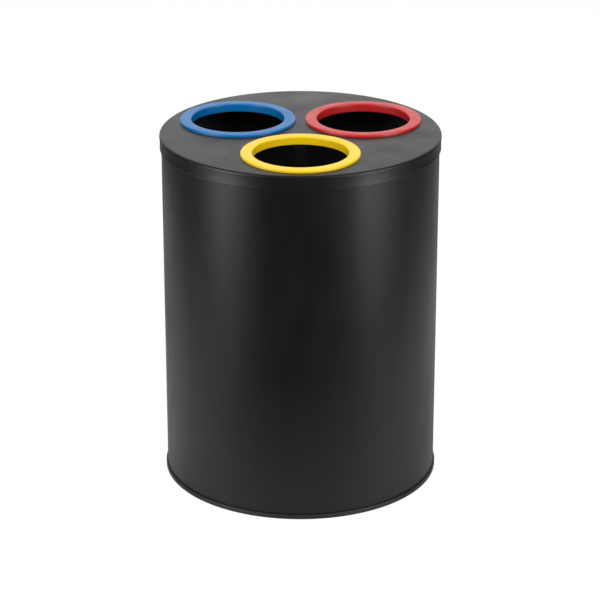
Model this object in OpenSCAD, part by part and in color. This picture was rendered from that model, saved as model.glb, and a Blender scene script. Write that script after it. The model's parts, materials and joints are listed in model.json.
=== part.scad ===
// Three-stream recycling bin for indoor and covered public areas.
// A round sheet-steel body carries a lift-off lid with three coloured mouth
// rings. Under each mouth stands a lift-out liner with a folding bail handle.
// The origin is on the floor at the body's axis; +Z is up and the front is -Y.

/* [Body] */
// Outside diameter of the steel body
body_d = 454; // [440:1:600]
// Height of the lid's top face above the floor
body_h = 590; // [480:1:760]
// Thickness of the steel sheet of body, base pan and lid
sheet = 1; // [0.8:0.1:1.3]
// Diameter of the wire inside the body's rolled top edge
rim_wire_d = 3.8; // [3:0.1:5]
// Width of the lap seam inside the body's back
seam_w = 18; // [10:1:30]

/* [Base] */
// Height of the base pan's underside above the floor
pan_lift = 10; // [9:0.5:24]
// Height of the plastic edging under the body
edging_h = 8; // [6:0.5:8.5]
// Wall thickness of the edging's two legs
edging_wall = 2.5; // [1.5:0.1:4]
// Thickness of the edging's floor, which the steel stands on
edging_web = 3; // [2:0.5:4]
// Width of the angle brackets that hold each liner in place
stop_w = 16; // [10:1:20]
// Height of the brackets' upright leg
stop_h = 14; // [8:1:24]
// Length of the brackets' foot on the pan
stop_foot = 14; // [8:1:20]
// Thickness of the brackets
stop_t = 1.5; // [1:0.1:2]

/* [Lid] */
// How far the lid's edge stands out from the body
lid_overhang = 3; // [2.8:0.1:8]
// Height of the lid's skirt, down from the top face
skirt_h = 24; // [20:1:50]
// Outer radius of the lid top's rounded edge
lid_edge_r = 4; // [2:0.5:6]
// How far the turned-down edge covers the skirt's neck, below the rounding
bead_lap = 2; // [1:0.5:4]
// How far the turned-down edge stands out from the skirt
bead_proud = 0.4; // [0.2:0.1:0.6]
// Height of the folded hem at the skirt's lower edge
hem_h = 8; // [5:1:12]
// Width of the three tabs that centre the lid in the body
tab_w = 24; // [14:1:30]
// Length of the tabs' leg that hangs inside the body
tab_drop = 20; // [12:1:30]
// Length of the tabs' leg under the lid
tab_foot = 20; // [12:1:24]

/* [Mouth rings] */
// Diameter of each mouth
mouth_d = 153.4; // [110:0.2:158]
// Width of the ring's flange around the mouth
flange_w = 18.8; // [10:0.1:21]
// Height of the ring's flange above the lid
flange_h = 4.6; // [4:0.1:10]
// Wall thickness of the ring
ring_wall = 2.4; // [2:0.1:3]
// Radius of the ring's rounded edges
ring_round = 2.2; // [1:0.1:2.5]
// How far the ring's collar reaches below the lid's top face
collar_drop = 9; // [5:0.5:20]
// Distance from the ring's flange to the lid's edge
ring_inset = 15; // [6:0.5:18]

/* [Liners] */
// Wall thickness of the liners
liner_wall = 2.2; // [1.8:0.1:3]
// Thickness of the liners' bottom
liner_floor = 2.5; // [2:0.1:4]
// How much narrower the liner's foot is than its rim
liner_taper = 15; // [8:1:22]
// Width of the rolled-out rim
liner_rim_w = 4; // [3:0.1:8]
// Height of the rim's turned-down lip
liner_lip_h = 8; // [5:0.5:16]
// Gap between a folded grip and the body's rolled edge as the liner is lifted out
liner_lift_gap = 2; // [1:0.5:8]
// Gap between the rims of two liners
liner_pair_gap = 7; // [5:0.5:14]

/* [Bails] */
// Diameter of the bail's wire
bail_wire_d = 4; // [3:0.1:5]
// Outside diameter of the grip on the bail
grip_d = 11; // [9:0.5:14]
// Half of the angle that the grip covers on the bail
grip_half_angle = 28; // [15:1:40]
// Thickness of the ears that hold the bail
ear_t = 5; // [4:0.5:6]
// Radius of the ears around the bail's pin
ear_r = 6; // [5:0.5:8]
// Radius of the bail pin's flattened head
pin_head_r = 3.2; // [2.8:0.1:4]
// Length of the bail pin's flattened head
pin_head_l = 1.5; // [1:0.1:3]

/* [Clearances] */
// Gap between sheet-metal pieces that are nested in each other
fit_gap = 0.1; // [0.05:0.05:0.2]
// Gap between the lid and the body's rolled edge
lid_seat_gap = 0.3; // [0.2:0.1:0.5]
// Gap between a mouth ring's collar and its hole
collar_gap = 0.3; // [0.2:0.1:0.6]
// Gap between a mouth ring's flange and the lid's top face
lip_gap = 0.1; // [0.05:0.05:0.3]
// Gap between the lid's tabs and the body's rolled edge
tab_gap = 0.8; // [0.7:0.1:2]
// Gap between a liner's foot and its brackets
stop_gap = 1.2; // [0.8:0.1:3]
// Gap under a liner's foot and under a folded grip
rest_gap = 0.3; // [0.1:0.1:0.5]
// Gap between a bail's pin and its bore
pin_gap = 0.1; // [0.05:0.01:0.1]
// Gap between a bail's bend and the face of its ear
ear_gap = 0.5; // [0.3:0.1:1]
// Space left between a raised bail and the mouth ring above it
bail_head_gap = 6; // [4:1:40]

/* [Hidden] */
$fn = 96;

// The three streams: the yellow one is at the front, the other two behind it.
YELLOW_AT = -90;
RED_AT = 30;
BLUE_AT = 150;
STREAMS = [YELLOW_AT, RED_AT, BLUE_AT];
HALF_STEP = 60;
SEAM_AT = 90;

// Body: the sheet's top edge is curled around the rim wire, with a slit at its end.
body_r = body_d / 2;
body_ri = body_r - sheet;
shell_bottom = edging_web;
shell_top = body_h - sheet - lid_seat_gap;
curl_bore_r = rim_wire_d / 2 + fit_gap;
curl_r = curl_bore_r + sheet;
curl_at = [body_r - curl_r, shell_top - curl_r];
curl_ri = body_r - 2 * curl_r;
curl_slit = 0.8;
seam_half_angle = atan(seam_w / 2 / body_ri);
seam_end_gap = 6;

// Base: the edging's slot holds the shell's foot and the pan's turned-down edge.
pan_r = body_ri - fit_gap;
pan_top = pan_lift + sheet;
edging_r = body_r + fit_gap + edging_wall;
edging_ri = pan_r - sheet - fit_gap - edging_wall;

// Lid: the skirt's neck stands inside the top's turned-down edge.
lid_r = body_r + lid_overhang;
skirt_r = lid_r - bead_proud;
skirt_bottom = body_h - skirt_h;
bead_bottom = body_h - lid_edge_r - bead_lap;
neck_r = lid_r - sheet - fit_gap;
neck_drop = 3 * sheet;
tab_r = curl_ri - tab_gap;

// Mouth rings: their place follows from the lid's edge.
mouth_r = mouth_d / 2;
ring_r = mouth_r + flange_w;
collar_r = mouth_r + ring_wall;
hole_r = collar_r + collar_gap;
stream_r = lid_r - ring_inset - ring_r;
collar_lead = 1;
rib_count = 8;
rib_r = 1;
rib_proud = 0.2;
rib_inset = 2;

// Liners, across: a folded grip has to pass the body's curled edge.
wire_r = bail_wire_d / 2;
grip_r = grip_d / 2;
ear_inset = 1;
bail_inset = ear_inset + ear_gap + wire_r;
liner_rim_r = min(curl_ri - liner_lift_gap - stream_r - grip_r + bail_inset,
                  stream_r * sin(HALF_STEP) - liner_pair_gap / 2);
liner_top_r = liner_rim_r - liner_rim_w;
liner_foot_r = liner_rim_r - liner_taper;
ear_x = liner_rim_r - ear_inset;
bail_r = liner_rim_r - bail_inset;
pin_end = ear_x + ear_t + rest_gap;

// Liners, upwards: a bail has room to stand up under the closed lid.
collar_bottom = body_h - collar_drop;
pivot_lift = grip_r + rest_gap;
pivot_z = collar_bottom - bail_head_gap - grip_r - bail_r;
liner_rim_z = pivot_z - pivot_lift;
liner_bottom = pan_top + rest_gap;
liner_h = liner_rim_z - liner_bottom;
foot_recess = 1.5;
foot_rim_w = 8;

BLACK_STEEL = "#26272a";
BLACK_PLASTIC = "#1b1b1d";
GREY_STEEL = "#9a9da1";
YELLOW = "#f2cd1e";
RED = "#c4232b";
BLUE = "#1f62b0";

// A rectangle between two radii and two heights, for turned profiles.
module band(r0, r1, z0, z1) {
    translate([r0, z0]) square([r1 - r0, z1 - z0]);
}

// A fold or an edge of thin stock, rounded by twelve flats.
module small_round(r) {
    circle(r = r, $fn = 12);
}

// A bar with a rounded end at the given height, pointing up.
module round_leg(r0, r1, z0, z1) {
    end_r = (r1 - r0) / 2;
    band(r0, r1, z0, z1 - end_r);
    translate([r0 + end_r, z1 - end_r]) small_round(end_r);
}

// Puts its children at one stream, with their +Y pointing away from the axis.
module at_stream(angle) {
    rotate([0, 0, angle]) translate([stream_r, 0, 0]) rotate([0, 0, -90]) children();
}

// ---- Body ----

// The sheet curls inwards around the rim wire; a slit is left between its end and the wall.
module curled_edge_profile() {
    difference() {
        translate(curl_at) circle(r = curl_r);
        translate(curl_at) circle(r = curl_bore_r);
        translate([curl_at.x + curl_bore_r - curl_slit, curl_at.y - curl_r])
            square([curl_slit, curl_r]);
    }
}

module body_shell() {
    color(BLACK_STEEL) {
        rotate_extrude() {
            difference() {
                band(body_ri, body_r, shell_bottom, curl_at.y);
                translate(curl_at) circle(r = curl_bore_r);
            }
            curled_edge_profile();
        }
        rotate([0, 0, SEAM_AT - seam_half_angle])
            rotate_extrude(angle = 2 * seam_half_angle)
                band(body_ri - sheet, body_ri + sheet / 2,
                     pan_top + seam_end_gap, curl_at.y - curl_r - seam_end_gap);
    }
}

module rim_wire() {
    color(GREY_STEEL)
        rotate_extrude() translate(curl_at) circle(r = rim_wire_d / 2);
}

// ---- Base ----

// A disc with its edge turned down inside the body's foot.
module base_pan() {
    color(BLACK_STEEL)
        rotate_extrude() {
            band(0, pan_r, pan_lift, pan_top);
            band(pan_r - sheet, pan_r, shell_bottom, pan_top);
        }
}

// U-shaped edging: the body's foot and the pan's edge stand in its slot.
module base_ring() {
    color(BLACK_PLASTIC)
        rotate_extrude() {
            band(edging_ri, edging_r, 0, edging_web);
            round_leg(body_r + fit_gap, edging_r, 0, edging_h);
            round_leg(edging_ri, edging_ri + edging_wall, 0, edging_h);
        }
}

module liner_bracket() {
    translate([0, liner_foot_r + stop_gap, pan_top]) {
        translate([-stop_w / 2, 0, 0]) cube([stop_w, stop_t, stop_h]);
        translate([-stop_w / 2, 0, 0]) cube([stop_w, stop_foot, stop_t]);
    }
}

// Three brackets around each liner: one towards the axis, two to its sides.
module liner_brackets() {
    color(BLACK_STEEL)
        for (angle = STREAMS)
            at_stream(angle)
                for (turn = [HALF_STEP, 3 * HALF_STEP, 5 * HALF_STEP])
                    rotate([0, 0, turn]) liner_bracket();
}

// ---- Lid ----

module lid_top() {
    color(BLACK_STEEL)
        difference() {
            rotate_extrude() {
                band(0, lid_r - lid_edge_r, body_h - sheet, body_h);
                band(lid_r - sheet, lid_r, bead_bottom, body_h - lid_edge_r);
                intersection() {
                    band(lid_r - lid_edge_r, lid_r, body_h - lid_edge_r, body_h);
                    translate([lid_r - lid_edge_r, body_h - lid_edge_r])
                        difference() {
                            circle(r = lid_edge_r);
                            circle(r = lid_edge_r - sheet);
                        }
                }
            }
            for (angle = STREAMS)
                at_stream(angle)
                    translate([0, 0, body_h - 2 * sheet]) cylinder(r = hole_r, h = 3 * sheet);
        }
}

// The neck stands inside the lid top's edge; the lower edge is folded inwards.
module lid_skirt() {
    color(BLACK_STEEL)
        rotate_extrude() {
            band(neck_r - sheet, neck_r, bead_bottom - neck_drop, body_h - lid_edge_r);
            band(skirt_r - sheet, skirt_r, skirt_bottom + sheet, bead_bottom - fit_gap);
            band(skirt_r - 2 * sheet, skirt_r - sheet, skirt_bottom + sheet, skirt_bottom + hem_h);
            translate([skirt_r - sheet, skirt_bottom + sheet]) small_round(sheet);
        }
}

module lid_tab() {
    translate([tab_r - sheet, -tab_w / 2, body_h - sheet - tab_drop])
        cube([sheet, tab_w, tab_drop]);
    translate([tab_r - tab_foot, -tab_w / 2, body_h - 2 * sheet])
        cube([tab_foot, tab_w, sheet]);
}

module lid_tabs() {
    color(BLACK_STEEL)
        for (angle = STREAMS)
            rotate([0, 0, angle + HALF_STEP]) lid_tab();
}

// ---- Mouth rings ----

module ring_profile() {
    band(mouth_r, collar_r, -collar_drop + collar_lead, flange_h - ring_round);
    band(mouth_r, collar_r - collar_lead, -collar_drop, flange_h - ring_round);
    band(collar_r - collar_lead, ring_r - ring_round, lip_gap, flange_h);
    band(collar_r - collar_lead, ring_r, lip_gap, flange_h - ring_round);
    translate([mouth_r + ring_round, flange_h - ring_round]) circle(r = ring_round);
    translate([ring_r - ring_round, flange_h - ring_round]) circle(r = ring_round);
}

// Small upright ribs that hold the collar in the lid's hole.
module collar_ribs() {
    for (i = [0 : rib_count - 1])
        rotate([0, 0, i * 360 / rib_count])
            translate([collar_r - rib_r + rib_proud, 0, -collar_drop + rib_inset])
                cylinder(r = rib_r, h = collar_drop - rib_inset, $fn = 32);
}

module mouth_ring(angle) {
    at_stream(angle)
        translate([0, 0, body_h]) {
            rotate_extrude() ring_profile();
            collar_ribs();
        }
}

module ring_yellow() { color(YELLOW) mouth_ring(YELLOW_AT); }
module ring_red() { color(RED) mouth_ring(RED_AT); }
module ring_blue() { color(BLUE) mouth_ring(BLUE_AT); }

// ---- Liners ----

// Half of the liner's section, from its recessed bottom to its turned-out rim.
module liner_profile() {
    polygon([
        [0, foot_recess],
        [liner_foot_r - foot_rim_w, foot_recess],
        [liner_foot_r - foot_rim_w + foot_recess, 0],
        [liner_foot_r, 0],
        [liner_top_r, liner_h],
        [liner_top_r - liner_wall, liner_h],
        [liner_foot_r - liner_wall, foot_recess + liner_floor],
        [0, foot_recess + liner_floor]
    ]);
    band(liner_top_r - liner_wall, liner_rim_r, liner_h - liner_wall, liner_h);
    band(liner_rim_r - liner_wall, liner_rim_r, liner_h - liner_lip_h, liner_h);
}

// One ear with the bore for the bail's pin, on the +X side of the liner.
module liner_ear() {
    difference() {
        union() {
            translate([ear_x, 0, pivot_z]) rotate([0, 90, 0]) cylinder(r = ear_r, h = ear_t);
            translate([ear_x, -ear_r, liner_rim_z - liner_lip_h])
                cube([ear_t, 2 * ear_r, pivot_lift + liner_lip_h]);
        }
        translate([ear_x - ear_t, 0, pivot_z])
            rotate([0, 90, 0]) cylinder(r = wire_r + pin_gap, h = 3 * ear_t);
    }
}

module liner(angle) {
    color(BLACK_PLASTIC)
        at_stream(angle) {
            translate([0, 0, liner_bottom]) rotate_extrude() liner_profile();
            liner_ear();
            mirror([1, 0, 0]) liner_ear();
        }
}

module liner_yellow() { liner(YELLOW_AT); }
module liner_red() { liner(RED_AT); }
module liner_blue() { liner(BLUE_AT); }

// ---- Bails ----

// The bail's bent end: a rounded corner, the pin and its flattened head.
module bail_end() {
    translate([bail_r, 0, pivot_z]) {
        sphere(r = wire_r);
        rotate([0, 90, 0]) cylinder(r = wire_r, h = pin_end - bail_r);
    }
    translate([pin_end, 0, pivot_z])
        rotate([0, 90, 0]) cylinder(r = pin_head_r, h = pin_head_l);
}

// The bail lies folded outwards over the liner's rim.
module bail(angle) {
    color(GREY_STEEL)
        at_stream(angle) {
            translate([0, 0, pivot_z])
                rotate_extrude(angle = 180) translate([bail_r, 0]) circle(r = wire_r);
            bail_end();
            mirror([1, 0, 0]) bail_end();
        }
}

module bail_yellow() { bail(YELLOW_AT); }
module bail_red() { bail(RED_AT); }
module bail_blue() { bail(BLUE_AT); }

// A plastic sleeve on the middle of the bail.
module grip(angle) {
    color(BLACK_PLASTIC)
        at_stream(angle)
            translate([0, 0, pivot_z])
                rotate([0, 0, 90 - grip_half_angle])
                    rotate_extrude(angle = 2 * grip_half_angle)
                        translate([bail_r, 0])
                            difference() {
                                circle(r = grip_r);
                                circle(r = wire_r + pin_gap);
                            }
}

module grip_yellow() { grip(YELLOW_AT); }
module grip_red() { grip(RED_AT); }
module grip_blue() { grip(BLUE_AT); }

body_shell();
rim_wire();
base_pan();
base_ring();
liner_brackets();
lid_top();
lid_skirt();
lid_tabs();
ring_yellow();
ring_red();
ring_blue();
liner_yellow();
liner_red();
liner_blue();
bail_yellow();
bail_red();
bail_blue();
grip_yellow();
grip_red();
grip_blue();
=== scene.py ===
import json
import math

import bpy
from mathutils import Matrix, Vector


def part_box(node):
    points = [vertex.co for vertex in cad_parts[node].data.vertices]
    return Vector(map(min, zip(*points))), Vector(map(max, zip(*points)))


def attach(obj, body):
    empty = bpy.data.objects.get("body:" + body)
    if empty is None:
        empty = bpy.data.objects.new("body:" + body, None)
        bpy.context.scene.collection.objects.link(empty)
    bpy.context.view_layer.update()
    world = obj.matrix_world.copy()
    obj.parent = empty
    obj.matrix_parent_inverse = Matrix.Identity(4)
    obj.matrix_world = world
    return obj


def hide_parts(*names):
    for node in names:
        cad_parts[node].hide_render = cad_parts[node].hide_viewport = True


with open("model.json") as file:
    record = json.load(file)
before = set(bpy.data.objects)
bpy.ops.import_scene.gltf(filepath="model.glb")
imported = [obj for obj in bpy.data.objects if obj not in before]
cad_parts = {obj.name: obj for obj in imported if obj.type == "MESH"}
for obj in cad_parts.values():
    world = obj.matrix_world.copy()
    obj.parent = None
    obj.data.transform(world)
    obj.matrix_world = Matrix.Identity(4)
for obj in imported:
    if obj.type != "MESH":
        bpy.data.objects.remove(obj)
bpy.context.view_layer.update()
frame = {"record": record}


# ---- Body shell ----
# One sheet of steel, rolled round and spot-welded along a lap seam at the back. Its top edge is
# curled inwards around a wire, and the whole shell has a satin black powder coat.

SHEET = 0.001
CURL_R = 0.003
CURL_BORE_R = 0.002
CURL_END = 296
CURL_STEPS = 18
SEAM_STEPS = 3
SEAM_FOOT = 0.017
SEAM_TOP = 0.577
GROOVE_HALF = 0.0009
GROOVE_DEPTH = 0.00025
TURN_STEPS = 240
CREASE = 32
MERGE_WITHIN = 1e-6
FACING = 0.9


def select_only(piece):
    """Leaves one object selected and active, in object mode."""
    if bpy.context.object and bpy.context.object.mode == "EDIT":
        bpy.ops.object.mode_set(mode="OBJECT")
    bpy.ops.object.select_all(action="DESELECT")
    piece.select_set(True)
    bpy.context.view_layer.objects.active = piece


def edit(piece):
    """Opens a piece in edit mode with nothing selected, ready to pick faces."""
    select_only(piece)
    bpy.ops.object.mode_set(mode="EDIT")
    bpy.ops.mesh.select_all(action="DESELECT")
    bpy.ops.mesh.select_mode(type="FACE")


def pick(piece, wanted):
    """Selects only the faces whose centre and normal pass a test, in edit mode."""
    bpy.ops.object.mode_set(mode="EDIT")
    bpy.ops.mesh.select_mode(type="FACE")
    bpy.ops.mesh.select_all(action="DESELECT")
    bpy.ops.object.mode_set(mode="OBJECT")
    for face in piece.data.polygons:
        face.select = wanted(face.center, face.normal)
    bpy.ops.object.mode_set(mode="EDIT")


def bow(centre, radius, start, end, count):
    """Points along an arc of a section, from one angle to another in degrees."""
    turns = [math.radians(start + (end - start) * i / count) for i in range(count + 1)]
    return [(centre[0] + radius * math.cos(turn), centre[1] + radius * math.sin(turn))
            for turn in turns]


def turned(name, section, steps=TURN_STEPS, axis=(0.0, 0.0), closed=True, crease=CREASE):
    """Draws a section of (radius, height) points edge by edge and spins it round."""
    bpy.ops.object.select_all(action="DESELECT")
    bpy.ops.mesh.primitive_plane_add(size=0.001)
    piece = bpy.context.object
    piece.name = piece.data.name = name
    bpy.ops.object.mode_set(mode="EDIT")
    bpy.ops.mesh.select_mode(type="VERT")
    bpy.ops.mesh.merge(type="CENTER")
    spots = [Vector((axis[0] + radius, axis[1], height)) for radius, height in section]
    bpy.ops.transform.translate(value=spots[0])
    for last, spot in zip(spots, spots[1:]):
        bpy.ops.mesh.extrude_region_move(TRANSFORM_OT_translate={"value": spot - last})
    if closed:
        back = spots[0] - spots[-1]
        bpy.ops.mesh.extrude_region_move(TRANSFORM_OT_translate={"value": back})
    bpy.ops.mesh.select_all(action="SELECT")
    bpy.ops.mesh.remove_doubles(threshold=MERGE_WITHIN)
    bpy.ops.mesh.select_all(action="SELECT")
    bpy.ops.mesh.spin(steps=steps, angle=math.tau, center=(*axis, 0), axis=(0, 0, 1))
    bpy.ops.mesh.select_all(action="SELECT")
    bpy.ops.mesh.remove_doubles(threshold=MERGE_WITHIN)
    bpy.ops.mesh.normals_make_consistent(inside=False)
    bpy.ops.object.mode_set(mode="OBJECT")
    bpy.ops.object.shade_smooth_by_angle(angle=math.radians(crease))
    return piece


def finish_piece(piece, material, slot, body, *nodes):
    """Gives a piece its material and body, and hides the CAD nodes that it stands for."""
    piece.data.materials.clear()
    piece.data.materials.append(material)
    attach(piece, body)
    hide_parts(*nodes)


shell_low, shell_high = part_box("body_shell")
body_r = shell_high[0]
curl_at = (body_r - CURL_R, shell_high[2] - CURL_R)
shell = turned("body_shell_sheet", [
    (body_r, shell_low[2]),
    *bow(curl_at, CURL_R, 0, CURL_END, CURL_STEPS),
    *bow(curl_at, CURL_BORE_R, CURL_END, 0, CURL_STEPS),
    (body_r - SHEET, shell_low[2]),
])

# The lap seam: the sheet's other end lies inside, and its edge shows as a fine line outside.
seam_half = SEAM_STEPS * math.pi / TURN_STEPS * body_r
edit(shell)
for height in (SEAM_FOOT, SEAM_TOP):
    bpy.ops.mesh.select_all(action="SELECT")
    bpy.ops.mesh.bisect(plane_co=(0, 0, height), plane_no=(0, 0, 1))
pick(shell, lambda at, way: at.y > 0 and abs(at.x) < seam_half and way.y < -FACING
     and SEAM_FOOT < at.z < SEAM_TOP)
bpy.ops.mesh.extrude_region_move(TRANSFORM_OT_translate={"value": (0, -SHEET, 0)})
for side in (-GROOVE_HALF, GROOVE_HALF):
    pick(shell, lambda at, way: at.y > 0 and abs(at.x) < 2 * seam_half and way.y > FACING
         and at.z < SEAM_TOP)
    bpy.ops.mesh.bisect(plane_co=(side, 0, 0), plane_no=(1, 0, 0))
pick(shell, lambda at, way: at.y > 0 and abs(at.x) < GROOVE_HALF and way.y > FACING
     and at.z < SEAM_TOP)
bpy.ops.transform.translate(value=(0, -GROOVE_DEPTH, 0))
bpy.ops.object.mode_set(mode="OBJECT")


def new_material(name, colour, roughness, metallic=0.0, specular=0.5):
    """An empty finish: its node tree, its shader and the place on the piece."""
    material = bpy.data.materials.new(name)
    material.use_nodes = True
    tree = material.node_tree
    shader = tree.nodes["Principled BSDF"]
    shader.inputs["Base Color"].default_value = (*colour, 1)
    shader.inputs["Roughness"].default_value = roughness
    shader.inputs["Metallic"].default_value = metallic
    shader.inputs["Specular IOR Level"].default_value = specular
    place = tree.nodes.new("ShaderNodeTexCoord").outputs["Object"]
    return material, tree, shader, place


def noise(tree, place, scale, detail=2.0, stretch=(1, 1, 1), rough=0.5):
    """Cloudy variation at a scale given in patches per metre."""
    mapping = tree.nodes.new("ShaderNodeMapping")
    mapping.inputs["Scale"].default_value = stretch
    tree.links.new(place, mapping.inputs["Vector"])
    clouds = tree.nodes.new("ShaderNodeTexNoise")
    clouds.inputs["Scale"].default_value = scale
    clouds.inputs["Detail"].default_value = detail
    clouds.inputs["Roughness"].default_value = rough
    tree.links.new(mapping.outputs["Vector"], clouds.inputs["Vector"])
    return clouds.outputs["Fac"]


def spread(tree, value, low, high, to_low, to_high):
    """Maps one range of a value onto another."""
    mapper = tree.nodes.new("ShaderNodeMapRange")
    ends = {"From Min": low, "From Max": high, "To Min": to_low, "To Max": to_high}
    for socket, number in ends.items():
        mapper.inputs[socket].default_value = number
    tree.links.new(value, mapper.inputs["Value"])
    return mapper.outputs["Result"]


def blend_colours(tree, share, first, second):
    """Mixes two colours, either of which may come from another node."""
    mix = tree.nodes.new("ShaderNodeMix")
    mix.data_type = "RGBA"
    tree.links.new(share, mix.inputs["Factor"])
    for socket, colour in ((mix.inputs[6], first), (mix.inputs[7], second)):
        if isinstance(colour, tuple):
            socket.default_value = (*colour, 1)
        else:
            tree.links.new(colour, socket)
    return mix.outputs[2]


def calculate(tree, kind, first, second):
    """One sum on two values, either of which may be a plain number."""
    step = tree.nodes.new("ShaderNodeMath")
    step.operation = kind
    for socket, value in zip(step.inputs, (first, second)):
        if isinstance(value, (int, float)):
            socket.default_value = value
        else:
            tree.links.new(value, socket)
    return step.outputs[0]


def bump(tree, shader, layers):
    """Stacks relief on a surface, each layer a pattern, its depth in metres and its strength."""
    normal = None
    for height, depth, strength in layers:
        relief = tree.nodes.new("ShaderNodeBump")
        relief.inputs["Distance"].default_value = depth
        relief.inputs["Strength"].default_value = strength
        tree.links.new(height, relief.inputs["Height"])
        if normal:
            tree.links.new(normal, relief.inputs["Normal"])
        normal = relief.outputs["Normal"]
    tree.links.new(normal, shader.inputs["Normal"])


def powder_coat(name, colour, roughness, smudge=0.05, dust=0.0, dull_inside=0.0):
    """Satin powder coat: fine grain, a soft orange peel, and handling marks in its sheen.

    Dust settles on faces that look up, and the coat may be thinner and duller inside.
    """
    material, tree, shader, place = new_material(name, colour, roughness)
    grain = noise(tree, place, scale=1500, detail=3)
    peel = noise(tree, place, scale=260, detail=2)
    wipes = noise(tree, place, scale=14, detail=4, stretch=(1, 1, 0.35), rough=0.6)
    patches = noise(tree, place, scale=5, detail=3)
    marks = calculate(tree, "ADD", spread(tree, wipes, 0.35, 0.7, -smudge, smudge),
                      spread(tree, patches, 0.3, 0.7, -smudge / 2, smudge / 2))
    if dull_inside:
        geometry = tree.nodes.new("ShaderNodeNewGeometry")
        outward = tree.nodes.new("ShaderNodeVectorMath")
        outward.operation = "DOT_PRODUCT"
        tree.links.new(place, outward.inputs[0])
        tree.links.new(geometry.outputs["Normal"], outward.inputs[1])
        duller = spread(tree, outward.outputs["Value"], 0.15, 0.05, 0, dull_inside)
        marks = calculate(tree, "ADD", marks, duller)
    tree.links.new(calculate(tree, "ADD", marks, roughness), shader.inputs["Roughness"])
    lighter = tuple(1.35 * part + 0.0012 for part in colour)
    tint = blend_colours(tree, spread(tree, wipes, 0.4, 0.75, 0, 1), colour, lighter)
    if dust:
        upward = tree.nodes.new("ShaderNodeSeparateXYZ")
        geometry = tree.nodes.new("ShaderNodeNewGeometry")
        tree.links.new(geometry.outputs["Normal"], upward.inputs[0])
        settled = calculate(tree, "MULTIPLY", spread(tree, upward.outputs["Z"], 0.6, 1, 0, dust),
                            spread(tree, patches, 0.3, 0.7, 0.4, 1))
        tint = blend_colours(tree, settled, tint, (0.3, 0.29, 0.28))
    tree.links.new(tint, shader.inputs["Base Color"])
    bump(tree, shader, [(peel, 0.00012, 0.25), (grain, 0.00005, 0.3)])
    return material


body_coat = powder_coat("body_powder_coat", (0.0032, 0.0032, 0.0034), 0.42, dull_inside=0.4)
finish_piece(shell, body_coat, "body_coat", "body", "body_shell")


# ---- Rim wire ----
# Drawn steel wire that the shell's top edge is curled around. It shows only in the curl's slit.

WIRE_R = 0.0019
WIRE_STEPS = 24

wire_end = 360 - 360 / WIRE_STEPS
wire = turned("rim_wire_ring", bow(curl_at, WIRE_R, 0, wire_end, WIRE_STEPS - 1))


def zinc_wire(name):
    """Drawn, zinc-plated steel wire: fine draw lines and a slightly cloudy plating."""
    material, tree, shader, place = new_material(name, (0.5, 0.5, 0.51), 0.34, metallic=1)
    cloud = noise(tree, place, scale=90, detail=3)
    lines = noise(tree, place, scale=1600, detail=2, stretch=(1, 1, 0.15))
    plating = blend_colours(tree, spread(tree, cloud, 0.35, 0.65, 0, 1),
                            (0.42, 0.42, 0.43), (0.6, 0.6, 0.6))
    tree.links.new(plating, shader.inputs["Base Color"])
    tree.links.new(spread(tree, cloud, 0.3, 0.7, 0.28, 0.45), shader.inputs["Roughness"])
    bump(tree, shader, [(lines, 0.00003, 0.4)])
    return material


bail_zinc = zinc_wire("zinc_plated_wire")
finish_piece(wire, bail_zinc, "rim_wire", "body", "rim_wire")


# ---- Base pan ----
# Pressed steel bottom with its edge turned down inside the shell's foot, and two round beads
# that stiffen it. It is coated black like the inside of the bin.

PAN_BEND_R = 0.0022
BEAD_RADII = (0.2105, 0.016)
BEAD_HALF = 0.004
BEAD_DEPTH = 0.0012
BEAD_SHOULDER = 0.75
PAN_BEND_STEPS = 6

pan_low, pan_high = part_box("base_pan")
pan_r = pan_high[0]
pan_under = pan_high[2] - SHEET


def pan_face(height):
    """The pan's flat, from its edge to its middle, with the two beads pressed downwards."""
    points = []
    for radius in BEAD_RADII:
        for across, down in ((1, 0), (0.5, BEAD_SHOULDER), (0, 1), (-0.5, BEAD_SHOULDER), (-1, 0)):
            points.append((radius + BEAD_HALF * across, height - BEAD_DEPTH * down))
    return points


pan_bend_at = (pan_r - PAN_BEND_R, pan_high[2] - PAN_BEND_R)
outer_bend = bow(pan_bend_at, PAN_BEND_R, 0, 90, PAN_BEND_STEPS)
inner_bend = bow(pan_bend_at, PAN_BEND_R - SHEET, 90, 0, PAN_BEND_STEPS)
pan = turned("base_pan_pressing", [
    (0, pan_under), *reversed(pan_face(pan_under)), *inner_bend,
    (pan_r - SHEET, pan_low[2]), (pan_r, pan_low[2]),
    *outer_bend, *pan_face(pan_high[2]), (0, pan_high[2]),
], closed=False)
inner_coat = powder_coat("inner_powder_coat", (0.011, 0.011, 0.0115), 0.55, smudge=0.08, dust=0.05)
finish_piece(pan, inner_coat, "inner_coat", "body", "base_pan")


# ---- Base ring ----
# Black PVC edging, extruded as a U and pushed onto the body's foot with its ends butted at the
# back. It stands on the floor, and its lip presses against the shell.

EDGING_WALL = 0.0025
EDGING_WEB = 0.003
EDGING_FIT = 0.0001
EDGING_GROOVES = (0.003, 0.0052)
EDGING_GROOVE_HALF = 0.0004
EDGING_GROOVE_DEPTH = 0.0003
EDGING_JOINT_HALF = 0.0004
EDGING_JOINT_REACH = 0.02
EDGING_INNER_BEVEL = 0.0006
EDGING_OUTER_BEVEL = 0.0008
LEG_STEPS = 10

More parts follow.
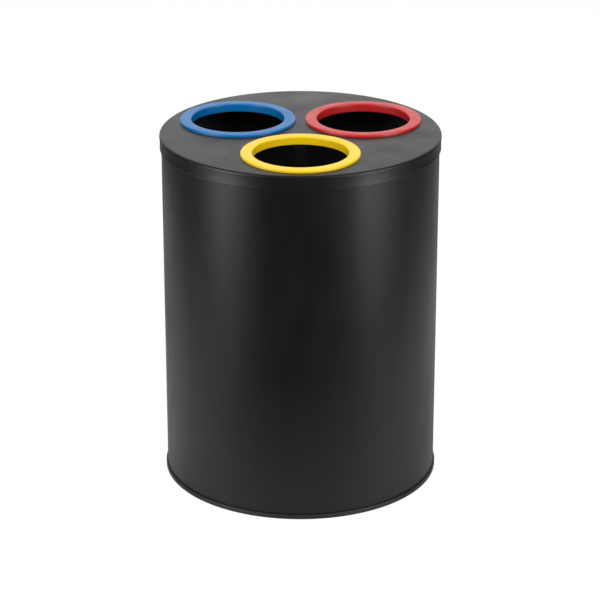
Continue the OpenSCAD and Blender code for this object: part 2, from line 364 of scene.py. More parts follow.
edging_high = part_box("base_ring")[1]
edging_r = edging_high[0]
leg_r = EDGING_WALL / 2
slot_out = edging_r - EDGING_WALL
slot_in = pan_r - SHEET - EDGING_FIT
edging_in = slot_in - EDGING_WALL
leg_top = edging_high[2] - leg_r
grooves = []
for height in EDGING_GROOVES:
    grooves += [(edging_r, height - EDGING_GROOVE_HALF), (edging_r - EDGING_GROOVE_DEPTH, height),
                (edging_r, height + EDGING_GROOVE_HALF)]
edging = turned("base_ring_edging", [
    (edging_in + EDGING_INNER_BEVEL, 0), (edging_r - EDGING_OUTER_BEVEL, 0),
    (edging_r, EDGING_OUTER_BEVEL), *grooves,
    *bow((edging_r - leg_r, leg_top), leg_r, 0, 180, LEG_STEPS), (slot_out, EDGING_WEB),
    (slot_in, EDGING_WEB), *bow((slot_in - leg_r, leg_top), leg_r, 0, 180, LEG_STEPS),
    (edging_in, EDGING_INNER_BEVEL),
])
edit(edging)
for side in (-EDGING_JOINT_HALF, EDGING_JOINT_HALF):
    pick(edging, lambda at, way: at.y > 0 and abs(at.x) < EDGING_JOINT_REACH)
    bpy.ops.mesh.bisect(plane_co=(side, 0, 0), plane_no=(1, 0, 0))
pick(edging, lambda at, way: at.y > 0 and abs(at.x) < EDGING_JOINT_HALF)
bpy.ops.mesh.delete(type="FACE")
bpy.ops.mesh.select_mode(type="EDGE")
bpy.ops.mesh.select_all(action="DESELECT")
bpy.ops.mesh.select_non_manifold()
bpy.ops.mesh.edge_face_add()
bpy.ops.mesh.select_all(action="SELECT")
bpy.ops.mesh.normals_make_consistent(inside=False)
bpy.ops.object.mode_set(mode="OBJECT")


def soft_plastic(name, colour, roughness, grain_scale=900, flow=(1, 1, 1), gloss=0.5):
    """Plain dark plastic: a fine eroded grain, flow streaks and dull rubbed patches."""
    material, tree, shader, place = new_material(name, colour, roughness, specular=gloss)
    grain = noise(tree, place, scale=grain_scale, detail=3)
    streaks = noise(tree, place, scale=40, detail=4, stretch=flow, rough=0.6)
    rubbed = noise(tree, place, scale=9, detail=3)
    lighter = tuple(1.5 * part + 0.002 for part in colour)
    tree.links.new(blend_colours(tree, spread(tree, streaks, 0.35, 0.7, 0, 1), colour, lighter),
                   shader.inputs["Base Color"])
    streaked = spread(tree, streaks, 0.3, 0.7, roughness - 0.04, roughness + 0.04)
    worn = calculate(tree, "ADD", spread(tree, rubbed, 0.3, 0.7, -0.07, 0.07), streaked)
    tree.links.new(worn, shader.inputs["Roughness"])
    bump(tree, shader, [(streaks, 0.0002, 0.15), (grain, 0.00004, 0.35)])
    return material


edging_pvc = soft_plastic("edging_pvc", (0.012, 0.012, 0.0125), 0.46, flow=(1, 1, 6))
finish_piece(edging, edging_pvc, "edging", "body", "base_ring")


# ---- Liner brackets ----
# Nine angle brackets bent from steel strip, three around each liner's foot. Each is held to the
# pan by two spot welds, which leave small round dents in its foot.

BRACKET_T = 0.0015
BRACKET_W = 0.016
BRACKET_H = 0.014
BRACKET_FOOT = 0.014
BRACKET_BEVEL = 0.0005
BRACKET_WELDS = [(-0.004, 0.009), (0.004, 0.009)]
BRACKET_TURNS = (60, 180, 300)
WELD_R = 0.0022
WELD_DENT = 0.0004
WELD_TAPER = 0.6
LINER_FOOT_R = 0.0825
STOP_GAP = 0.0012

streams = {}
for joint in frame["record"]["behaviour"]["joints"]:
    if joint["name"].endswith("_swing"):
        streams[joint["child"].split("_")[1]] = Vector(joint["pos_m"])
front = streams["yellow"]


def apply_modifier(piece, kind, **settings):
    """Adds one modifier with its settings and applies it."""
    select_only(piece)
    modifier = piece.modifiers.new(kind.lower(), kind)
    for name, value in settings.items():
        setattr(modifier, name, value)
    bpy.ops.object.modifier_apply(modifier=modifier.name)


def weld_dents(piece, spots, top):
    """Presses small round spot-weld dents into a flat top face."""
    for x, y in spots:
        bpy.ops.mesh.primitive_cylinder_add(vertices=20, radius=WELD_R, depth=2 * WELD_DENT,
                                            location=(x, y, top))
        tool = bpy.context.object
        bpy.ops.object.mode_set(mode="EDIT")
        pick(tool, lambda at, way: way.z < -FACING)
        bpy.ops.transform.resize(value=(WELD_TAPER, WELD_TAPER, 1))
        bpy.ops.object.mode_set(mode="OBJECT")
        apply_modifier(piece, "BOOLEAN", object=tool, operation="DIFFERENCE", solver="EXACT")
        bpy.data.objects.remove(tool)


def angle_strip(name, foot, upright, width, thick, bevel):
    """A strip bent to an L at the origin: its foot runs along +Y and its other leg stands up."""
    bpy.ops.object.select_all(action="DESELECT")
    bpy.ops.mesh.primitive_cube_add(size=1, location=(0, thick / 2, thick / 2))
    piece = bpy.context.object
    piece.name = piece.data.name = name
    bpy.ops.object.mode_set(mode="EDIT")
    bpy.ops.transform.resize(value=(width, thick, thick))
    pick(piece, lambda at, way: way.y > FACING)
    bpy.ops.mesh.extrude_region_move(TRANSFORM_OT_translate={"value": (0, foot - thick, 0)})
    pick(piece, lambda at, way: way.z > FACING and at.y < thick)
    bpy.ops.mesh.extrude_region_move(TRANSFORM_OT_translate={"value": (0, 0, upright - thick)})
    bpy.ops.object.mode_set(mode="OBJECT")
    bpy.ops.object.transform_apply(location=True, rotation=True, scale=True)
    apply_modifier(piece, "BEVEL", width=bevel, segments=3, limit_method="ANGLE",
                   angle_limit=math.radians(60), affect="EDGES", harden_normals=False)
    return piece


def copy_turned(piece, name, place):
    """A copy with its own mesh, moved to another place by one matrix."""
    copy = bpy.data.objects.new(name, piece.data.copy())
    copy.data.name = name
    copy.data.transform(place)
    bpy.context.scene.collection.objects.link(copy)
    return copy


def join(pieces, name):
    """Joins pieces that share a body and a material into one."""
    select_only(pieces[0])
    for piece in pieces[1:]:
        piece.select_set(True)
    bpy.ops.object.join()
    pieces[0].name = pieces[0].data.name = name
    return pieces[0]


pattern = angle_strip("bracket_pattern", BRACKET_FOOT, BRACKET_H, BRACKET_W, BRACKET_T,
                      BRACKET_BEVEL)
weld_dents(pattern, BRACKET_WELDS, BRACKET_T)
brackets = []
for centre in streams.values():
    outward = math.atan2(centre.y, centre.x) - math.pi / 2
    for turn in BRACKET_TURNS:
        place = (Matrix.Translation((centre.x, centre.y, pan_high[2]))
                 @ Matrix.Rotation(outward + math.radians(turn), 4, "Z")
                 @ Matrix.Translation((0, LINER_FOOT_R + STOP_GAP, 0)))
        brackets.append(copy_turned(pattern, "bracket", place))
bpy.data.objects.remove(pattern)
bracket_set = join(brackets, "liner_bracket_set")
finish_piece(bracket_set, inner_coat, "inner_coat", "body", "liner_brackets")


# ---- Lid top ----
# Flat steel disc with three cut holes. Its edge is rounded over and turned down around the
# skirt's neck, as on a tin, and the lid has the same satin black powder coat as the body.

LID_EDGE_R = 0.004
LID_EDGE_STEPS = 12
LID_INNER_STEPS = 10
LID_LIP_BEVEL = 0.0003
LID_FLAT_SHARE = 0.5
HOLE_R = 0.0794
HOLE_STEPS = 160
CUTTER_H = 0.01

lid_low, lid_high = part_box("lid_top")
lid_r = lid_high[0]
lid_z = lid_high[2]
lid_edge_at = (lid_r - LID_EDGE_R, lid_z - LID_EDGE_R)
lid_top = turned("lid_top_disc", [
    (0, lid_z), (lid_r * LID_FLAT_SHARE, lid_z),
    *bow(lid_edge_at, LID_EDGE_R, 90, 0, LID_EDGE_STEPS),
    (lid_r, lid_low[2] + LID_LIP_BEVEL), (lid_r - LID_LIP_BEVEL, lid_low[2]),
    (lid_r - SHEET, lid_low[2]),
    *bow(lid_edge_at, LID_EDGE_R - SHEET, 0, 90, LID_INNER_STEPS),
    (lid_r * LID_FLAT_SHARE, lid_z - SHEET), (0, lid_z - SHEET),
], closed=False)
for centre in streams.values():
    bpy.ops.object.select_all(action="DESELECT")
    bpy.ops.mesh.primitive_cylinder_add(vertices=HOLE_STEPS, radius=HOLE_R, depth=CUTTER_H,
                                        location=(centre.x, centre.y, lid_z))
    cutter = bpy.context.object
    apply_modifier(lid_top, "BOOLEAN", object=cutter, operation="DIFFERENCE", solver="EXACT")
    bpy.data.objects.remove(cutter)
select_only(lid_top)
bpy.ops.object.shade_smooth_by_angle(angle=math.radians(CREASE))
lid_coat = powder_coat("lid_powder_coat", (0.0045, 0.0045, 0.0047), 0.4, dust=0.03)
finish_piece(lid_top, lid_coat, "lid_coat", "lid", "lid_top")


# ---- Lid skirt ----
# Steel strip rolled to a hoop. Its neck stands inside the lid top's turned-down edge, and a
# joggle brings it out again. Its lower edge stands a little proud and is folded inwards as a hem.

NECK_DROP = 0.0018
JOGGLE = 0.0012
HEM_H = 0.008
ROLL_H = 0.0022
ROLL_OUT = 0.0002
ROLL_SWELL = ((0.3, 0.0004), (0.8, 0.0009))
WALL_BEVEL_IN = 0.0002
WALL_BEVEL_DOWN = 0.0003
HEM_STEPS = 12

skirt_low, skirt_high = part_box("lid_skirt")
skirt_r = skirt_high[0]
neck_r = lid_r - SHEET - EDGING_FIT
joggle_z = lid_low[2] - EDGING_FIT
fold_at = (skirt_r - SHEET, skirt_low[2] + SHEET)
hoop_r = skirt_r - ROLL_OUT
roll_z = skirt_low[2] + ROLL_H
skirt = turned("lid_skirt_hoop", [
    (neck_r - SHEET, skirt_high[2]), (neck_r, skirt_high[2]), (neck_r, joggle_z + JOGGLE / 3),
    (hoop_r - WALL_BEVEL_IN, joggle_z), (hoop_r, joggle_z - WALL_BEVEL_DOWN), (hoop_r, roll_z),
    *[(hoop_r + ROLL_OUT * share, roll_z - down) for share, down in ROLL_SWELL],
    (skirt_r, fold_at[1]), *bow(fold_at, SHEET, 0, -180, HEM_STEPS)[1:],
    (skirt_r - 2 * SHEET, skirt_low[2] + HEM_H), (skirt_r - SHEET, skirt_low[2] + HEM_H),
    (skirt_r - SHEET, joggle_z - NECK_DROP - JOGGLE), (neck_r - SHEET, joggle_z - NECK_DROP),
])
edit(skirt)
for side in (-GROOVE_HALF / 2, GROOVE_HALF / 2):
    pick(skirt, lambda at, way: at.y > 0 and abs(at.x) < seam_half and way.y > FACING)
    bpy.ops.mesh.bisect(plane_co=(side, 0, 0), plane_no=(1, 0, 0))
pick(skirt, lambda at, way: at.y > 0 and abs(at.x) < GROOVE_HALF / 2 and way.y > FACING
     and at.z < joggle_z - SHEET)
bpy.ops.transform.translate(value=(0, -GROOVE_DEPTH / 2, 0))
bpy.ops.object.mode_set(mode="OBJECT")
finish_piece(skirt, lid_coat, "lid_coat", "lid", "lid_skirt")


# ---- Lid tabs ----
# Three tabs bent from strip and spot-welded under the lid. They hang inside the body's curled
# edge and centre the lid on it.

TAB_W = 0.024
TAB_FOOT = 0.020
TAB_H = 0.020
TAB_GAP = 0.0008
TAB_BEVEL = 0.00035
TAB_WELDS = [(-0.006, 0.012), (0.006, 0.012)]

tab_r = body_r - 2 * CURL_R - TAB_GAP
tab_pattern = angle_strip("tab_pattern", TAB_FOOT, TAB_H, TAB_W, SHEET, TAB_BEVEL)
weld_dents(tab_pattern, TAB_WELDS, SHEET)
tabs = []
for centre in streams.values():
    across = math.atan2(-centre.y, -centre.x)
    place = (Matrix.Rotation(across - math.pi / 2, 4, "Z")
             @ Matrix.Translation((0, tab_r, lid_z - SHEET)) @ Matrix.Rotation(math.pi, 4, "X"))
    tabs.append(copy_turned(tab_pattern, "tab", place))
bpy.data.objects.remove(tab_pattern)
finish_piece(join(tabs, "lid_tab_set"), inner_coat, "inner_coat", "lid", "lid_tabs")


# ---- Mouth rings ----
# Moulded plastic rings in yellow, red and blue, one pressed into each hole of the lid. Each has
# a slightly crowned flange with rounded edges and a collar with eight small grip ribs.

MOUTH_R = 0.0767
RING_WALL = 0.0024
RING_ROUND = 0.0021
RING_INNER_ROUND = 0.0022
RING_ROUND_STEPS = 8
RING_FOOT_BEVEL = 0.0004
RING_CREASE = 40
CROWN = 0.0003
CROWN_HALF = 0.004
CROWN_FALL = 0.15
LIP_GAP = 0.0001
COLLAR_LEAD = 0.001
RIB_COUNT = 8
RIB_PROUD = 0.0002

ring_low, ring_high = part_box("ring_yellow")
ring_r = (ring_high[0] - ring_low[0]) / 2
ring_top = ring_high[2]
collar_r = MOUTH_R + RING_WALL
flat_z = ring_top - CROWN
flange_mid = (MOUTH_R + ring_r) / 2
crown_z = ring_top - CROWN * CROWN_FALL
outer_round_at = (ring_r - RING_ROUND, flat_z - RING_ROUND)
inner_round_at = (MOUTH_R + RING_INNER_ROUND, flat_z - RING_INNER_ROUND)
ring = turned("ring_yellow_moulding", [
    (MOUTH_R, ring_low[2] + RING_FOOT_BEVEL), (MOUTH_R + RING_FOOT_BEVEL, ring_low[2]),
    (collar_r - COLLAR_LEAD, ring_low[2]), (collar_r, ring_low[2] + COLLAR_LEAD),
    (collar_r, lid_z + LIP_GAP), (ring_r, lid_z + LIP_GAP),
    *bow(outer_round_at, RING_ROUND, 0, 90, RING_ROUND_STEPS),
    (flange_mid + CROWN_HALF, crown_z), (flange_mid, ring_top), (flange_mid - CROWN_HALF, crown_z),
    *bow(inner_round_at, RING_INNER_ROUND, 90, 180, RING_ROUND_STEPS),
], axis=(front.x, front.y), crease=RING_CREASE)
edit(ring)


def on_rib(at):
    """Whether a spot lies on one of the collar's eight ribs."""
    turn = math.degrees(math.atan2(at.y - front.y, at.x - front.x)) % (360 / RIB_COUNT)
    return turn < 360 / TURN_STEPS


pick(ring, lambda at, way: at.z < lid_z and on_rib(at) and abs(way.z) < 1 - FACING
     and (at - Vector((front.x, front.y, at.z))).length > collar_r - RIB_PROUD)
bpy.ops.mesh.extrude_region_shrink_fatten(TRANSFORM_OT_shrink_fatten={"value": RIB_PROUD})
bpy.ops.object.mode_set(mode="OBJECT")


def moulded_plastic(name, colour, deep, roughness, gloss):
    """Coloured moulded plastic: faint flow clouding, a soft sink, and a fine satin grain."""
    material, tree, shader, place = new_material(name, colour, roughness, specular=gloss)
    clouding = noise(tree, place, scale=30, detail=4, rough=0.6)
    grain = noise(tree, place, scale=1300, detail=2)
    sink = noise(tree, place, scale=70, detail=2)
    tree.links.new(blend_colours(tree, spread(tree, clouding, 0.35, 0.65, 0, 0.35), colour, deep),
                   shader.inputs["Base Color"])
    tree.links.new(spread(tree, clouding, 0.3, 0.7, roughness - 0.05, roughness + 0.05),
                   shader.inputs["Roughness"])
    bump(tree, shader, [(sink, 0.0002, 0.12), (grain, 0.00003, 0.25)])
    return material


RING_COLOURS = {
    "yellow": ((0.82, 0.54, 0.002), (0.77, 0.49, 0.002), 0.65),
    "red": ((0.48, 0.014, 0.015), (0.43, 0.011, 0.012), 0.85),
    "blue": ((0.001, 0.128, 0.36), (0.001, 0.108, 0.32), 0.62),
}
RING_ROUGHNESS = 0.36

stream_turns = {colour: Matrix.Rotation(number * math.tau / len(RING_COLOURS), 4, "Z")
                for number, colour in enumerate(RING_COLOURS)}
for colour, (tone, deep, gloss) in RING_COLOURS.items():
    copy = copy_turned(ring, f"{colour}_mouth_ring", stream_turns[colour])
    plastic = moulded_plastic(f"{colour}_ring_plastic", tone, deep, RING_ROUGHNESS, gloss)
    finish_piece(copy, plastic, f"plastic_{colour}", f"ring_{colour}", f"ring_{colour}")
bpy.data.objects.remove(ring)


# ---- Liners ----
# Moulded polypropylene buckets, tapered so that they stack. Each has a turned-down rim, a
# stiffening bead under it, a recessed bottom, and two ears that carry the bail. They are
# near-black:
# partly the plastic's own black and partly painted shade, so that the mouths look as dark as the
# deep shade inside the bin.

LINER_WALL = 0.0022
LINER_FLOOR = 0.0025
LINER_RIM_W = 0.004
LINER_LIP_H = 0.008
LINER_TAPER = 0.015
LINER_STEPS = 160
FOOT_RECESS = 0.0015
FOOT_RIM_W = 0.008
FOOT_ROUND = 0.002
RIM_ROUND = 0.0018
RIM_INNER_ROUND = 0.0015
RIM_FILLET = 0.001
RIM_FILLET_IN = 0.0001
FLOOR_FILLET = ((0, 0.004), (0.0012, 0.0012), (0.004, 0))
WALL_BEAD = ((-0.004, 0), (-0.002, 0.7), (0, 1), (0.002, 0.7), (0.004, 0))
WALL_BEAD_DROP = 0.034
WALL_BEAD_OUT = 0.0014
EAR_T = 0.005
EAR_R = 0.006
EAR_ROOT = 0.0138
EAR_STEPS = 48
EAR_BEVEL = 0.0004
PIN_ABOVE_RIM = 0.0058
PIN_BORE_R = 0.0021
PIN_STEPS = 40
GATE_R = 0.005
GATE_PROUD = 0.0005
GATE_BEVEL = 0.001

liner_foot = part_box("liner_red")[0][2]
liner_rim_z = front.z - PIN_ABOVE_RIM
liner_rim_r = LINER_FOOT_R + LINER_TAPER
liner_top_r = liner_rim_r - LINER_RIM_W
rise = liner_rim_z - liner_foot


def wall_r(height):
    """Outside radius of the tapered wall at a height above its foot."""
    return LINER_FOOT_R + (liner_top_r - LINER_FOOT_R) * height / rise


bead = []
for up, share in WALL_BEAD:
    height = rise - WALL_BEAD_DROP + up
    bead.append((wall_r(height) + WALL_BEAD_OUT * share, liner_foot + height))
under_z = liner_foot + FOOT_RECESS
floor_z = under_z + LINER_FLOOR
lip_under_z = liner_rim_z - LINER_WALL
lip_end_z = liner_rim_z - LINER_LIP_H
lip_inner_r = liner_rim_r - LINER_WALL
foot_rim_r = LINER_FOOT_R - FOOT_RIM_W
inner_foot_r = LINER_FOOT_R - LINER_WALL
inner_top_r = liner_top_r - LINER_WALL
liner = turned("liner_pattern", [
    (0, under_z), (GATE_R, under_z), (foot_rim_r, under_z), (foot_rim_r + FOOT_RECESS, liner_foot),
    *bow((LINER_FOOT_R - FOOT_ROUND, liner_foot + FOOT_ROUND), FOOT_ROUND, -90, 0, 5), *bead,
    (liner_top_r - RIM_FILLET_IN, lip_under_z - RIM_FILLET),
    (liner_top_r + RIM_FILLET, lip_under_z), (lip_inner_r, lip_under_z),
    (lip_inner_r, lip_end_z), (liner_rim_r, lip_end_z),
    *bow((liner_rim_r - RIM_ROUND, liner_rim_z - RIM_ROUND), RIM_ROUND, 0, 90, 6),
    *bow((inner_top_r + RIM_INNER_ROUND, liner_rim_z - RIM_INNER_ROUND),
         RIM_INNER_ROUND, 90, 180, 5),
    *[(inner_foot_r - inwards, floor_z + up) for inwards, up in FLOOR_FILLET],
    (GATE_R + GATE_BEVEL, floor_z), (GATE_R, floor_z + GATE_PROUD), (0, floor_z + GATE_PROUD),
], steps=LINER_STEPS, axis=(front.x, front.y), closed=False)
ear_x = liner_rim_r - SHEET
for side in (-1, 1):
    bpy.ops.object.select_all(action="DESELECT")
    bpy.ops.mesh.primitive_cylinder_add(vertices=EAR_STEPS, radius=EAR_R, depth=EAR_T,
                                        location=(0, 0, front.z), rotation=(0, math.pi / 2, 0))
    ear = bpy.context.object
    bpy.ops.object.transform_apply(location=True, rotation=True, scale=True)
    bpy.ops.object.mode_set(mode="EDIT")
    pick(ear, lambda at, way: way.z < FACING - 1)
    bpy.ops.mesh.extrude_region_move(TRANSFORM_OT_translate={"value": (0, 0, -EAR_ROOT)})
    bpy.ops.mesh.select_all(action="SELECT")
    bpy.ops.transform.translate(value=(front.x + side * (ear_x + EAR_T / 2), front.y, 0))
    bpy.ops.object.mode_set(mode="OBJECT")
    bpy.ops.mesh.primitive_cylinder_add(vertices=PIN_STEPS, radius=PIN_BORE_R, depth=4 * EAR_T,
                                        location=(front.x + side * ear_x, front.y, front.z),
                                        rotation=(0, math.pi / 2, 0))
    drill = bpy.context.object
    apply_modifier(ear, "BOOLEAN", object=drill, operation="DIFFERENCE", solver="EXACT")
    bpy.data.objects.remove(drill)
    apply_modifier(ear, "BEVEL", width=EAR_BEVEL, segments=2, limit_method="ANGLE",
                   angle_limit=math.radians(50))
    apply_modifier(liner, "BOOLEAN", object=ear, operation="UNION", solver="EXACT")
    bpy.data.objects.remove(ear)
select_only(liner)
bpy.ops.object.shade_smooth_by_angle(angle=math.radians(CREASE))
# Near-black plastic: the plastic's own black and also painted shade, keeping the liners as dark as
# the shade in the mouths.
liner_plastic = soft_plastic("liner_polypropylene_and_painted_shade", (0.005, 0.005, 0.0053), 0.58,
                             flow=(1, 1, 0.2), gloss=0.25)
for colour, place in stream_turns.items():
    copy = copy_turned(liner, f"{colour}_liner_bucket", place)
    finish_piece(copy, liner_plastic, "liner_plastic", f"liner_{colour}", f"liner_{colour}")
bpy.data.objects.remove(liner)


# ---- Bails ----
# Handles of zinc-plated wire, bent to a half circle. Each end turns outwards through its ear as
# a pin, which widens towards its tip so that it can't slip back.

BAIL_WIRE_R = 0.002
WIRE_SIDES = 24
BEND_R = 0.00205
BEND_STEPS = 10
BAIL_R = 0.094
BAIL_STEPS = 64
BAIL_CREASE = 40
PIN_PAST_EAR = 0.0018
PIN_SPREAD = 1.46625
MIRROR_WITHIN = 1e-5

pin_tip = ear_x + EAR_T + PIN_PAST_EAR
bend_angle = math.asin(BEND_R / (BAIL_R + BEND_R))
bend_x = front.x + (BAIL_R + BEND_R) * math.cos(bend_angle)
bpy.ops.object.select_all(action="DESELECT")
bpy.ops.mesh.primitive_circle_add(vertices=WIRE_SIDES, radius=BAIL_WIRE_R,
                                  rotation=(0, math.pi / 2, 0),
                                  location=(front.x, front.y - BAIL_R, front.z))
bail = bpy.context.object
bail.name = bail.data.name = "bail_pattern"
bpy.ops.object.transform_apply(location=True, rotation=True, scale=True)
bpy.ops.object.mode_set(mode="EDIT")
bpy.ops.mesh.select_all(action="SELECT")
bpy.ops.mesh.spin(steps=BAIL_STEPS, angle=-(math.pi / 2 - bend_angle),
                  center=(front.x, front.y, 0), axis=(0, 0, 1))
bpy.ops.mesh.spin(steps=BEND_STEPS, angle=math.pi / 2 - bend_angle,
                  center=(bend_x, front.y - BEND_R, 0), axis=(0, 0, 1))
bpy.ops.transform.translate(value=(pin_tip - bend_x, 0, 0))
bpy.ops.transform.resize(value=(1, PIN_SPREAD, PIN_SPREAD),
                         center_override=(pin_tip, front.y, front.z))
bpy.ops.mesh.edge_face_add()
bpy.ops.object.mode_set(mode="OBJECT")
apply_modifier(bail, "MIRROR", use_axis=(True, False, False), merge_threshold=MIRROR_WITHIN)
edit(bail)
bpy.ops.mesh.select_all(action="SELECT")
bpy.ops.mesh.normals_make_consistent(inside=False)
bpy.ops.object.mode_set(mode="OBJECT")
bpy.ops.object.shade_smooth_by_angle(angle=math.radians(BAIL_CREASE))
for colour, place in stream_turns.items():
    copy = copy_turned(bail, f"{colour}_bail_wire", place)
    finish_piece(copy, bail_zinc, "bail_wire", f"bail_{colour}", f"bail_{colour}")
bpy.data.objects.remove(bail)


# ---- Grips ----
# A sleeve of black plastic moulded onto the middle of each bail, with rounded ends and four
# shallow finger grooves.

GRIP_R = 0.0055
GRIP_BORE_R = 0.0021
GRIP_HALF_ANGLE = 28
GRIP_STEPS = 56
GRIP_SIDES = 32
GROOVE_COUNT = 4
GROOVE_SHARE = 0.07
END_SCALES = (0.74, 0.9, 0.97)
SLICE_HALF = 0.0004
SKIN_FROM = 0.0035
SKIN_TO = 0.0058


def on_bail(turn):
    """The middle of the yellow bail's wire at an angle around its liner."""
    return Vector((front.x + BAIL_R * math.cos(turn), front.y + BAIL_R * math.sin(turn), front.z))


grip_start = math.radians(-90 - GRIP_HALF_ANGLE)
grip_angle = math.radians(2 * GRIP_HALF_ANGLE)
bpy.ops.object.select_all(action="DESELECT")
for radius in (GRIP_BORE_R, GRIP_R):
    bpy.ops.mesh.primitive_circle_add(vertices=GRIP_SIDES, radius=radius,
                                      rotation=(math.pi / 2, 0, grip_start),
                                      location=on_bail(grip_start))
    if radius == GRIP_BORE_R:
        grip = bpy.context.object
grip.select_set(True)
bpy.context.view_layer.objects.active = grip
bpy.ops.object.join()
bpy.ops.object.transform_apply(location=True, rotation=True, scale=True)
bpy.ops.object.mode_set(mode="EDIT")
bpy.ops.mesh.select_all(action="SELECT")
bpy.ops.mesh.bridge_edge_loops()
bpy.ops.mesh.select_all(action="SELECT")
bpy.ops.mesh.spin(steps=GRIP_STEPS, angle=-grip_angle, center=(front.x, front.y, 0),
                  axis=(0, 0, 1))
bpy.ops.mesh.select_mode(type="VERT")
for step in range(GRIP_STEPS + 1):
    turn = grip_start + grip_angle * step / GRIP_STEPS
    middle = on_bail(turn)
    along = Vector((-math.sin(turn), math.cos(turn), 0))
    wave = math.cos(math.tau * GROOVE_COUNT * step / GRIP_STEPS)
    scale = 1 - GROOVE_SHARE * (0.5 - 0.5 * wave)
    from_end = min(step, GRIP_STEPS - step)
    if from_end < len(END_SCALES):
        scale = END_SCALES[from_end]
    bpy.ops.mesh.select_all(action="DESELECT")
    bpy.ops.object.mode_set(mode="OBJECT")
    for vertex in grip.data.vertices:
        offset = vertex.co - middle
        in_slice = abs(offset.dot(along)) < SLICE_HALF
        vertex.select = in_slice and SKIN_FROM < offset.length < SKIN_TO
    bpy.ops.object.mode_set(mode="EDIT")
    bpy.ops.transform.resize(value=(scale, scale, scale), center_override=middle)
bpy.ops.mesh.select_all(action="SELECT")
bpy.ops.mesh.normals_make_consistent(inside=False)
bpy.ops.object.mode_set(mode="OBJECT")
bpy.ops.object.shade_smooth_by_angle(angle=math.radians(BAIL_CREASE))
grip_plastic = soft_plastic("grip_polypropylene", (0.011, 0.011, 0.0115), 0.5, grain_scale=1400)
for colour, place in stream_turns.items():
    copy = copy_turned(grip, f"{colour}_bail_grip", place)
    finish_piece(copy, grip_plastic, "grip_plastic", f"bail_{colour}", f"grip_{colour}")
bpy.data.objects.remove(grip)


# ---- Stage ----
# A seamless pale floor, large soft lights overhead and behind, a narrower one in front, a strip
# light at each side, and the camera.

FLOOR_SIZE = 60
FLOOR_GREY = (0.8, 0.8, 0.8)
FLOOR_GLOW = 0.9
FLOOR_CATCH = (0.12, 0.12, 0.12, 1)
PAPER_BACK = 0.95
PAPER_R = 1.15
PAPER_END_R = 1.7
PAPER_WHITE = (0.6, 0.6, 0.6)
BEYOND_PAPER = (0.04, 0.04, 0.04)
ROOM_AIR = (0.03, 0.03, 0.03, 1)
FAR_WHITE = (0.97, 0.97, 0.97, 1)
CAMERA_AT = (-0.0008, -3.7599, 1.7906)
CAMERA_TILT = 68.2954
LENS = 145.006
SENSOR_W = 36

bpy.ops.object.select_all(action="DESELECT")
bpy.ops.mesh.primitive_plane_add(size=FLOOR_SIZE)
floor = bpy.context.object
floor.name = floor.data.name = "studio_floor"
floor_paper, tree, shader, place = new_material("floor_paper", FLOOR_GREY, 0.9, specular=0)
fibres = noise(tree, place, scale=300, detail=3)
bump(tree, shader, [(fibres, 0.00005, 0.1)])

# White paper lies around the bin, and the studio's own floor beyond it is dark. The camera sees
# one seamless white floor with a faint contact shadow.
paper_place = tree.nodes.new("ShaderNodeMapping")
paper_place.inputs["Location"].default_value = (0, -PAPER_BACK, 0)
tree.links.new(place, paper_place.inputs["Vector"])
from_middle = tree.nodes.new("ShaderNodeVectorMath")
from_middle.operation = "LENGTH"
tree.links.new(paper_place.outputs["Vector"], from_middle.inputs[0])
past_paper = spread(tree, from_middle.outputs["Value"], PAPER_R, PAPER_END_R, 0, 1)
tree.links.new(blend_colours(tree, past_paper, PAPER_WHITE, BEYOND_PAPER),
               shader.inputs["Base Color"])
glow = tree.nodes.new("ShaderNodeEmission")
glow.inputs["Strength"].default_value = FLOOR_GLOW
catch = tree.nodes.new("ShaderNodeBsdfDiffuse")
catch.inputs["Color"].default_value = FLOOR_CATCH
seamless = tree.nodes.new("ShaderNodeAddShader")
tree.links.new(glow.outputs[0], seamless.inputs[0])
tree.links.new(catch.outputs[0], seamless.inputs[1])
seen = tree.nodes.new("ShaderNodeLightPath")
either = tree.nodes.new("ShaderNodeMixShader")
tree.links.new(seen.outputs["Is Camera Ray"], either.inputs[0])
tree.links.new(shader.outputs[0], either.inputs[1])
tree.links.new(seamless.outputs[0], either.inputs[2])
tree.links.new(either.outputs[0], tree.nodes["Material Output"].inputs["Surface"])
floor.data.materials.append(floor_paper)


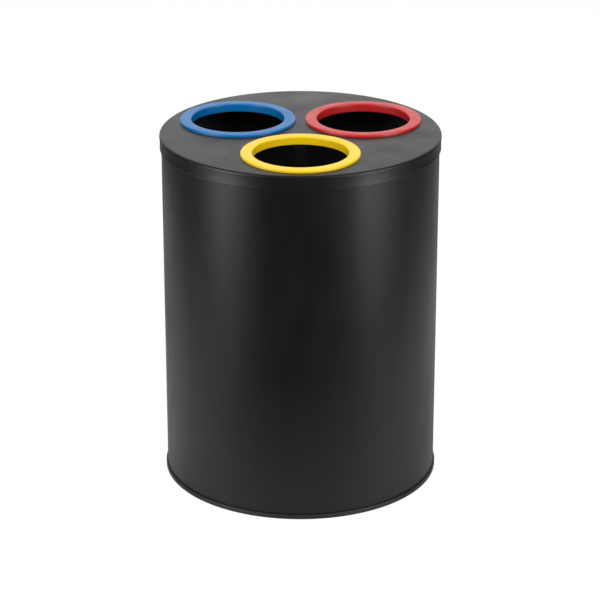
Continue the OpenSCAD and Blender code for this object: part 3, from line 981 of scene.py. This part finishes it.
def soft_light(name, place, aim, width, height, watts, seen_in_gloss=True):
    """A rectangular soft light, turned to face a spot."""
    light = bpy.data.lights.new(name, "AREA")
    light.shape = "RECTANGLE"
    light.size = width
    light.size_y = height
    light.energy = watts
    lamp = bpy.data.objects.new(name, light)
    bpy.context.scene.collection.objects.link(lamp)
    lamp.location = place
    lamp.rotation_euler = (Vector(aim) - Vector(place)).to_track_quat("-Z", "Y").to_euler()
    lamp.visible_camera = False
    lamp.visible_glossy = seen_in_gloss


soft_light("overhead_soft_light", (0, 0.3, 3.2), (0, 0, 0), 3.5, 3.5, 72, seen_in_gloss=False)
soft_light("front_soft_light", (0, -2.4, 2.3), (0, 0, 0.58), 2.6, 0.9, 44, seen_in_gloss=False)
soft_light("back_soft_light", (0, 3.0, 1.4), (0, 0, 0.5), 6.5, 2.4, 50)
soft_light("left_strip_light", (-1.17, -0.72, 0.9), (0, 0, 0.6), 0.65, 1.8, 14)
soft_light("right_strip_light", (1.13, -0.78, 0.9), (0, 0, 0.6), 0.65, 1.8, 14)

world = bpy.data.worlds.new("studio_air")
world.use_nodes = True
air = world.node_tree
air.nodes["Background"].inputs["Color"].default_value = ROOM_AIR
far_white = air.nodes.new("ShaderNodeBackground")
far_white.inputs["Color"].default_value = FAR_WHITE
seen = air.nodes.new("ShaderNodeLightPath")
either = air.nodes.new("ShaderNodeMixShader")
air.links.new(seen.outputs["Is Camera Ray"], either.inputs[0])
air.links.new(air.nodes["Background"].outputs[0], either.inputs[1])
air.links.new(far_white.outputs[0], either.inputs[2])
air.links.new(either.outputs[0], air.nodes["World Output"].inputs["Surface"])
bpy.context.scene.world = world

lens = bpy.data.cameras.new("camera")
lens.lens = LENS
lens.sensor_width = SENSOR_W
camera = bpy.data.objects.new("camera", lens)
camera.location = CAMERA_AT
camera.rotation_euler = (math.radians(CAMERA_TILT), 0, 0)
bpy.context.scene.collection.objects.link(camera)
bpy.context.scene.camera = camera
bpy.context.scene.view_settings.view_transform = "Standard"
